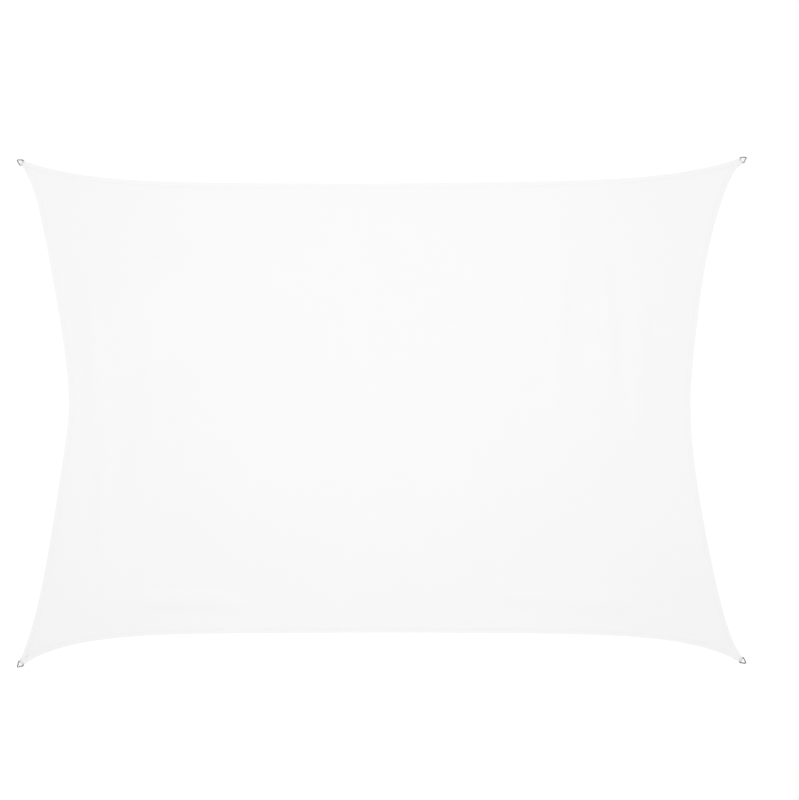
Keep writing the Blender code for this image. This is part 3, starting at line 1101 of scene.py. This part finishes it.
@dataclass(frozen=True)
class Gather:
    """Gathers along a hem: weight, length over 2 pi, share of the hem's phase, and wander."""

    weight: float
    length: float
    phase_share: float
    wander: float = 0.0
    wander_length: float = 1.0

    def lift(self, length: Array, phase: float) -> Array:
        """Height at running lengths: a sine whose phase wanders as a longer sine."""
        wander = self.wander * np.sin(length / self.wander_length)
        return self.weight * np.sin(length / self.length + self.phase_share * phase + wander)


@dataclass
class Hem:
    """The folded-over layer of one edge: round its fold and back to the stitched inner edge."""

    plan: Plan
    lie: Lie
    index: int
    step: float = 5.5 * MM
    fold_steps: int = 4
    pucker: float = 0.12 * MM
    swing: float = 0.096 * MM
    gathers: tuple[Gather, ...] = (
        Gather(1.0, 2.9 * MM, 1.0, 1.2, 31 * MM),
        Gather(0.8, 4.3 * MM, 2.1),
        Gather(0.7, 6.7 * MM, 0.9, 1.0, 53 * MM),
    )
    phase_step: float = 1.7
    patch: float = 87 * MM
    patchiness: float = 0.45
    full_from: float = 0.5
    fade_from: float = 0.86
    fade: float = 0.35
    columns: Array = field(default_factory=lambda: np.array(
        (0.0, 0.07, 0.17, 0.30, 0.44, 0.56, 0.68, 0.78, 0.87, 0.95, 1.0)))

    @property
    def name(self) -> str:
        """The piece's name."""
        return "hem_" + self.plan.edges[self.index].name

    def puckers(self, length: Array, across: Array) -> Array:
        """Small gathers square to the stitching: sums of sines, strongest between its rows.

        Args:
            length: running length along the edge.
            across: distance in from the fold, in hem widths.

        Returns:
            Heights, broadcast over both.
        """
        phase = self.phase_step * self.index
        wave = sum(gather.lift(length, phase) for gather in self.gathers)
        patchy = 1 - self.patchiness + self.patchiness * np.sin(length / self.patch + phase)
        faded = 1 - self.fade * smooth((across - self.fade_from) / (1 - self.fade_from))
        band = smooth(across / self.full_from) * faded
        return (self.pucker + self.swing * wave) * patchy * band

    def height(self, plan: Array, length: Array, across: Array) -> Array:
        """Middle of the layer over plan points, puckers included."""
        return self.lie.upper(plan) + self.puckers(length, across)

    def build(self, material: bpy.types.Material) -> bpy.types.Object:
        """Make the layer: the strip's grid, with the fold's half round before its first column."""
        edge = self.plan.edges[self.index]
        first, last = self.plan.spans[self.index]
        lengths = np.linspace(first, last, round((last - first) / self.step))
        strip = Strip(self.plan, self.index, self.columns, notch_column=4, corner_steps=14, lug_steps=4)
        surface = Surface()
        for part in strip.parts(lengths):
            along = self.nearest_length(edge, part[:, 0])
            across = np.broadcast_to(self.columns[:part.shape[1]], part.shape[:2])
            height = self.height(part, along[:, None], across)
            top = lifted(part, height)
            points = np.concatenate((self.fold_rows(part, height[:, 0]), top[:, 1:]), axis=1)
            behind_fold = np.concatenate((np.zeros(self.fold_steps), self.columns[:part.shape[1]]))
            surface.add_grid(points, paired(along[:, None], behind_fold * SIZES.hem_width))
        hem = surface.make(self.name, material, weld=0.02 * MM)
        thicken(hem, SIZES.cloth_thick)
        return hem

    @staticmethod
    def nearest_length(edge: Edge, outer: Array) -> Array:
        """Running length of points on the edge, by its nearest fine sample."""
        apart = np.linalg.norm(outer[:, None, :] - edge.path[None, ::4, :], axis=2)
        return edge.length[::4][apart.argmin(axis=1)]

    def fold_rows(self, part: Array, height: Array) -> Array:
        """Points round the fold at each station: a half circle from the lower to the upper layer.

        Args:
            part: the strip's plan grid.
            height: the upper layer's height on the edge.

        Returns:
            Points (stations, fold_steps + 1, 3).
        """
        outward = unit(part[:, 0] - part[:, 1])
        low = self.lie.lower(part[:, 0])
        radius = ((height - low) / 2)[:, None]
        angle = np.linspace(-math.pi / 2, math.pi / 2, self.fold_steps + 1)[None, :]
        reach = (radius * np.cos(angle))[:, :, None] * outward[:, None, :]
        return lifted(part[:, :1] + reach, (low[:, None] + radius) + radius * np.sin(angle))


@dataclass
class Stitching:
    """Rows of single stitches: each a short thread bowed up out of the cloth."""

    pitch: float = 5.0 * MM
    length: float = 4.1 * MM
    thread: float = 0.48 * MM
    sides: int = 4

    def add_row(self, surface: Surface, path: Array) -> None:
        """Add stitches along a path.

        Args:
            surface: what they are added to.
            path: points (n, 3) on the cloth's upper surface.
        """
        run = running_length(path)
        count = int(run[-1] / self.pitch)
        start = (np.arange(count) + 0.5) * self.pitch - self.length / 2
        share = np.array((0.0, 0.25, 0.75, 1.0))
        bow = np.array((-0.45, 0.18, 0.18, -0.45)) * self.thread
        half_girth = np.array((0.55, 1.0, 1.0, 0.55)) * self.thread / 2
        spots = start[:, None] + share[None, :] * self.length
        line = values_at(spots.reshape(-1), run, path).reshape(count, 4, 3)
        ahead = unit(line[:, -1] - line[:, 0])
        side = unit(np.stack((-ahead[:, 1], ahead[:, 0], np.zeros(count)), axis=1))
        up = np.cross(ahead, side)
        line = line + bow[None, :, None] * up[:, None, :]
        angle = 2 * math.pi * (np.arange(self.sides) + 0.5) / self.sides
        round_it = (np.cos(angle)[None, None, :, None] * side[:, None, None, :]
                    + np.sin(angle)[None, None, :, None] * up[:, None, None, :])
        points = line[:, :, None, :] + half_girth[None, :, None, None] * round_it
        tube = grid_quads(4, self.sides, loop_columns=True)
        first_end = np.arange(self.sides)[::-1]
        last_end = np.arange(3 * self.sides, 4 * self.sides)
        quads = np.concatenate((tube, first_end[None], last_end[None]))
        offsets = (np.arange(count) * 4 * self.sides)[:, None, None]
        places = paired(spots[:, :, None], (angle / (2 * math.pi))[None, None, :])
        surface.add(points, (quads[None] + offsets).reshape(-1, 4), places)


@dataclass
class HemStitches:
    """The hem's two rows of stitches along one edge."""

    hem: Hem
    rows: tuple[float, float] = (0.80, 0.93)
    clear: float = 20 * MM
    sample: float = 2 * MM

    def build(self, material: bpy.types.Material) -> bpy.types.Object:
        """Make both rows on the hem's upper surface."""
        hem = self.hem
        edge = hem.plan.edges[hem.index]
        first, last = hem.plan.spans[hem.index]
        surface = Surface()
        for row in self.rows:
            clear = self.clear * (1 - row)
            lengths = np.arange(first + clear, last - clear, self.sample)
            outer, inward = edge.at(lengths)
            plan = outer + inward * SIZES.hem_width * row
            height = hem.height(plan, lengths, np.full(len(lengths), row)) + SIZES.cloth_thick / 2
            Stitching().add_row(surface, lifted(plan, height))
        return surface.make("stitches_" + edge.name, material)


@dataclass
class CornerStitches:
    """Stitches through a corner pocket and its webbing: a box, a cross and the mitre's two rows."""

    corner: Corner
    plan: Plan
    lie: Lie
    half: float = 12.5 * MM
    near: float = 12 * MM
    far: float = 38 * MM
    mitre_row: float = 2.4 * MM
    mitre_gap: float = 2 * MM
    samples: int = 60

    def build(self, material: bpy.types.Material) -> bpy.types.Object:
        """Make them on the pocket's upper surface."""
        near, far, half = self.near, self.far, self.half
        box = [(near, -half), (far, -half), (far, half), (near, half)]
        lines = [(box[0], box[1]), (box[1], box[2]), (box[2], box[3]), (box[3], box[0]),
                 (box[0], box[2]), (box[1], box[3])]
        meeting, _ = self.corner.local(self.plan.meetings[self.corner.name])
        beyond = float(meeting) - self.mitre_gap
        surface = Surface()
        if beyond > far:
            lines += [((far, side), (beyond, side)) for side in (-self.mitre_row, self.mitre_row)]
        share = np.linspace(0, 1, self.samples)[:, None]
        stitching = Stitching(pitch=3.6 * MM, length=2.9 * MM)
        for start, end in lines:
            spots = np.array(start) + (np.array(end) - np.array(start)) * share
            plan = self.corner.plan(spots[:, 0], spots[:, 1])
            height = self.lie.upper(plan) + SIZES.cloth_thick / 2
            stitching.add_row(surface, lifted(plan, height))
        return surface.make("pocket_stitches_" + self.corner.name, material)


@dataclass
class WebbingLoop:
    """The webbing band of one corner, folded round the ring's bar."""

    corner: Corner
    wrap: float = math.radians(100)
    arc_steps: int = 30
    neck_steps: int = 8
    tail_steps: int = 10
    neck_ease: float = 0.28
    section_points: int = 23
    rounded_from: float = 0.93
    selvedge_from: float = 0.84
    selvedge_width: float = 0.06
    thinner: float = 0.06

    def path(self) -> Array:
        """Middle line in the plane across the bar: outwards x and height z, (n, 2).

        It comes out of the pocket low, goes round the bar on an arc and returns high, each neck
        an S between the pocket and the arc.
        """
        s = SIZES
        mouth = -s.end_back - s.mouth_back
        deep = mouth - s.tail
        radius = s.wire / 2 + s.web_slack + s.web_thick / 2
        angle = np.linspace(-self.wrap, self.wrap, self.arc_steps + 1)
        arc = np.array((0.0, s.bar_height)) + radius * on_circle(angle)
        share = np.linspace(0, 1, self.neck_steps + 1)[:-1]
        sides = []
        for tail, end in ((s.tail_low, arc[0]), (s.tail_high, arc[-1])):
            tails = paired(np.linspace(deep, mouth, self.tail_steps + 1)[:-1], tail)
            bent = (1 - self.neck_ease) * share + self.neck_ease * smooth(share)
            neck = paired(mouth + (end[0] - mouth) * share, tail + (end[1] - tail) * bent)
            sides.append(np.concatenate((tails, neck)))
        return np.concatenate((sides[0], arc, sides[1][::-1]))

    def section(self) -> Array:
        """Cross-section (n, 2): a flat band with rounded, slightly thicker selvedges."""
        half, thick = SIZES.web_width / 2, SIZES.web_thick / 2
        top = np.linspace(-1, 1, self.section_points)
        across = np.concatenate((top, top[-2:0:-1]))
        upper = np.concatenate((np.ones(len(top)), -np.ones(len(top) - 2)))
        edge = np.clip((np.abs(across) - self.rounded_from) / (1 - self.rounded_from), 0.0, 1.0)
        selvedge = smooth((np.abs(across) - self.selvedge_from) / self.selvedge_width)
        level = thick * (1 - self.thinner * (1 - selvedge)) * np.sqrt(1 - edge ** 2)
        return paired(across * half, upper * level)

    def build(self, material: bpy.types.Material) -> bpy.types.Object:
        """Make the band by carrying its section along its path."""
        path, section = self.path(), self.section()
        normal = left_of(unit(np.gradient(path, axis=0)))
        place = path[:, None, :] + normal[:, None, :] * section[None, :, 1:]
        out, across = self.corner.out, self.corner.across
        plan = (self.corner.bar + place[..., :1] * out + section[None, :, :1] * across)
        points = np.concatenate((plan, place[..., 1:]), axis=-1)
        length = running_length(path)
        from_bar = length - length[-1] / 2
        places = paired(from_bar[:, None], section[None, :, 0])
        quads = grid_quads(*points.shape[:2], loop_columns=True)
        surface = Surface()
        surface.add(points, quads, places)
        band = surface.make("webbing_band_" + self.corner.name, material)
        close_ends(band)
        return band


def close_ends(item: bpy.types.Object) -> None:
    """Fill a tube's open ends and turn all faces outwards."""
    source = bmesh.new()
    source.from_mesh(item.data)
    bmesh.ops.holes_fill(source, edges=[edge for edge in source.edges if edge.is_boundary])
    bmesh.ops.recalc_face_normals(source, faces=source.faces)
    source.to_mesh(item.data)
    source.free()
    item.data.set_sharp_from_angle(angle=math.radians(50))


@dataclass
class TriangleRing:
    """A corner's ring of bent round wire, tilted so that its apex rests on the surface."""

    corner: Corner
    bend_steps: int = 18
    straight_steps: int = 10
    wire_sides: int = 28

    def build(self, material: bpy.types.Material) -> bpy.types.Object:
        """Make the ring by carrying a circle along its closed centre line."""
        line = RingShape(SIZES).centre_line(self.bend_steps, self.straight_steps)
        side = -left_of(unit(np.roll(line, -1, axis=0) - np.roll(line, 1, axis=0)))
        angle = np.linspace(0, 2 * math.pi, self.wire_sides, endpoint=False)
        half = SIZES.wire / 2
        flat = line[:, None, :] + half * np.cos(angle)[None, :, None] * side[:, None, :]
        up = np.broadcast_to(half * np.sin(angle), flat.shape[:2])
        tilt = math.asin((SIZES.bar_height - half) / line[:, 0].max())
        outward = flat[..., 0] * math.cos(tilt) + up * math.sin(tilt)
        height = SIZES.bar_height - flat[..., 0] * math.sin(tilt) + up * math.cos(tilt)
        plan = (self.corner.bar + outward[..., None] * self.corner.out
                + flat[..., 1:] * self.corner.across)
        places = paired(running_length(line)[:, None], (angle * half)[None, :])
        surface = Surface()
        surface.add(lifted(plan, height), grid_quads(*flat.shape[:2], True, True), places)
        ring = surface.make("triangle_ring_" + self.corner.name, material)
        close_ends(ring)
        return ring


# ---- studio ------------------------------------------------------------------------------------
class Tone(Enum):
    """Light levels of the studio, in the render's own linear units."""

    HORIZON = 0.75
    SKY = 0.18


@dataclass(frozen=True)
class FarLamp:
    """A round soft lamp so far off that its light is even over the whole floor."""

    place: tuple[float, float, float]
    breadth: float
    strength: float

    def data(self, name: str) -> bpy.types.Light:
        """The light itself, its breadth an angle in radians."""
        made = bpy.data.lights.new(name, "SUN")
        made.angle = self.breadth
        made.energy = self.strength
        return made


@dataclass(frozen=True)
class NearLamp:
    """A square soft lamp over the sail, whose light falls off around it."""

    place: tuple[float, float, float]
    size: float
    power: float

    def data(self, name: str) -> bpy.types.Light:
        """The light itself."""
        made = bpy.data.lights.new(name, "AREA")
        made.shape = "SQUARE"
        made.size = self.size
        made.energy = self.power
        return made


@dataclass
class Studio:
    """Camera straight above the sail, a large pale floor, a dim dome and three soft lamps."""

    frame_px: tuple[int, int] = (799, 800)
    sail_middle_px: tuple[float, float] = (381.78, 412.12)
    metres_per_px: float = 6.8546 * MM
    camera_height: float = 14.0
    sensor: float = 36.0
    lamps: tuple[FarLamp | NearLamp, ...] = (
        FarLamp((-20.0, 24.0, 40.0), math.radians(22), 1.135),
        FarLamp((20.0, -24.0, 40.0), math.radians(22), 1.135),
        NearLamp((-0.1, 1.1, 9.5), 3.0, 370.0),
    )
    floor_radii: tuple[float, ...] = (0.0, 4.0, 12.0, 40.0, 120.0)
    floor_sides: int = 64
    floor_drop: float = 0.2 * MM
    horizon_band: tuple[float, float] = (0.18, 0.30)

    def camera(self) -> None:
        """Look straight down, with the sail where it lies in the frame."""
        data = bpy.data.cameras.new("camera")
        data.sensor_width = self.sensor
        data.lens = self.sensor * self.camera_height / (max(self.frame_px) * self.metres_per_px)
        data.clip_end = 500.0
        item = placed("camera", data)
        x = (self.frame_px[0] / 2 - self.sail_middle_px[0]) * self.metres_per_px
        y = (self.sail_middle_px[1] - self.frame_px[1] / 2) * self.metres_per_px
        item.location = (x, y, self.camera_height)
        bpy.context.scene.camera = item

    def floor(self) -> None:
        """A round floor just below the sail."""
        angle = np.linspace(0, 2 * math.pi, self.floor_sides, endpoint=False)
        plan = np.array(self.floor_radii)[:, None, None] * on_circle(angle)
        points = lifted(plan, np.full(plan.shape[:2], -self.floor_drop))
        surface = Surface()
        surface.add(points, grid_quads(*plan.shape[:2], loop_columns=True))
        floor = surface.make("floor", FloorFinish().material(), weld=MM)

    def lights(self) -> None:
        """The dome, pale at the horizon and dimmer above, and the soft lamps."""
        world = bpy.data.worlds.new("dome")
        dome = Shader(world, "Background")
        _, _, height = dome.parts(dome.node("ShaderNodeTexCoord").outputs["Generated"])
        dimmed = height.step(*self.horizon_band) * (Tone.SKY.value - Tone.HORIZON.value)
        dome.set(Color=(1.0, 1.0, 1.0, 1.0), Strength=dimmed + Tone.HORIZON.value)
        bpy.context.scene.world = world
        for index, lamp in enumerate(self.lamps):
            name = f"soft_lamp_{index}"
            item = placed(name, lamp.data(name))
            item.location = lamp.place
            item.rotation_euler = Vector(lamp.place).to_track_quat("Z", "Y").to_euler()

    def build(self) -> None:
        """Set up the whole studio."""
        bpy.context.scene.view_settings.view_transform = "Standard"
        self.camera()
        self.floor()
        self.lights()


# ---- assembly ----------------------------------------------------------------------------------
def settle(piece: bpy.types.Object, slot: str, *nodes: str) -> bpy.types.Object:
    """Let a piece ride on the sail's one body, hiding the nodes that it stands for."""
    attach(piece, "root")
    if nodes:
        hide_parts(*nodes)
    triangles = sum(len(face.vertices) - 2 for face in piece.data.polygons)
    log.info("%s: %d triangles before its thickness", piece.name, triangles)
    return piece


def main() -> None:
    """Build the studio and every piece of the sail."""
    logging.basicConfig(level=logging.INFO, format="%(name)s %(message)s")
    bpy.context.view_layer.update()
    Studio().build()
    plan = sail_plan()
    cloth, thread = SailFinish().material("white_polyester", False), ThreadFinish().material()
    hem_cloth = SailFinish().material("white_polyester_gathered", True)
    webbing, steel = WebbingFinish().material(), SteelFinish().material()

    panel = settle(ClothPanel(plan, SAIL_LIE).build(cloth), "sail_cloth", "sail_cloth")
    for index in range(4):
        hem = Hem(plan, SAIL_LIE, index)
        settle(hem.build(hem_cloth), "sail_cloth")
        settle(HemStitches(hem).build(thread), "sail_cloth")
    for corner in CORNERS:
        settle(CornerStitches(corner, plan, SAIL_LIE).build(thread), "sail_cloth")
        settle(WebbingLoop(corner).build(webbing), "webbing", "webbing_" + corner.name)
        settle(TriangleRing(corner).build(steel), "ring_steel", "ring_" + corner.name)


if __name__ == "__main__":
    main()
